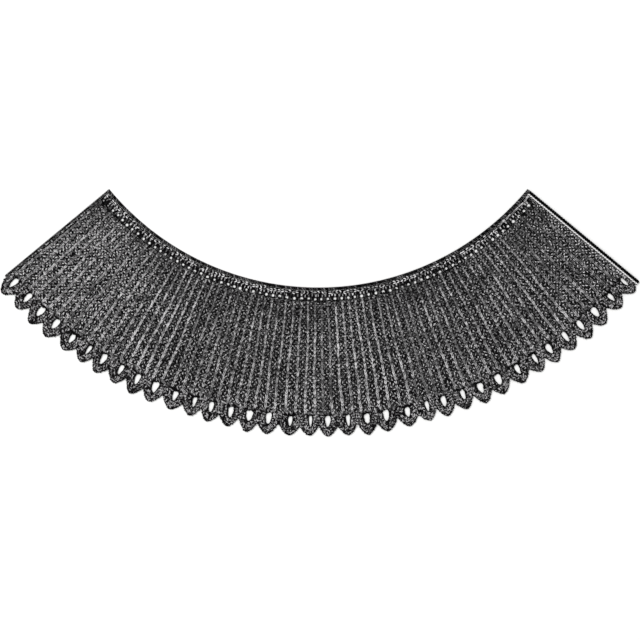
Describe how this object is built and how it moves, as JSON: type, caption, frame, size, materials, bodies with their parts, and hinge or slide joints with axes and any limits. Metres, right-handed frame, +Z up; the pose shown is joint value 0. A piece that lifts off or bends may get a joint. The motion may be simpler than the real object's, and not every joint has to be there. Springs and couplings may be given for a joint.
{
  "type": "knitted collar",
  "caption": "Flat fan-shaped knitted wool collar with accordion ribs, an eyelet neckband, corded neck and front edges and a scalloped hem with drop-shaped holes.",
  "frame": {"origin": "on the surface the collar rests on, under the middle of its box", "axes": "+X across the collar towards the front with the heavier cord, +Y towards the neck opening, +Z up out of the cloth"},
  "size_m": [0.5294, 0.2054, 0.0034],
  "materials": {
    "ribbed_wool": "matt charcoal wool, knitted in ribs",
    "band_wool": "matt charcoal wool, crocheted",
    "edging_wool": "matt dark charcoal wool, crocheted",
    "dark_cord": "matt dark wool cord",
    "black_cord": "matt near-black wool cord",
    "pale_chain": "matt pale grey chain stitches"
  },
  "bodies": {
    "root": {"neck_edge_cord": "dark_cord", "neckband": "band_wool", "ribbed_body": "ribbed_wool", "scalloped_edging": "edging_wool", "left_front_edge": "dark_cord", "right_front_cord": "black_cord", "right_front_chain": "pale_chain"}
  },
  "joints": []
}
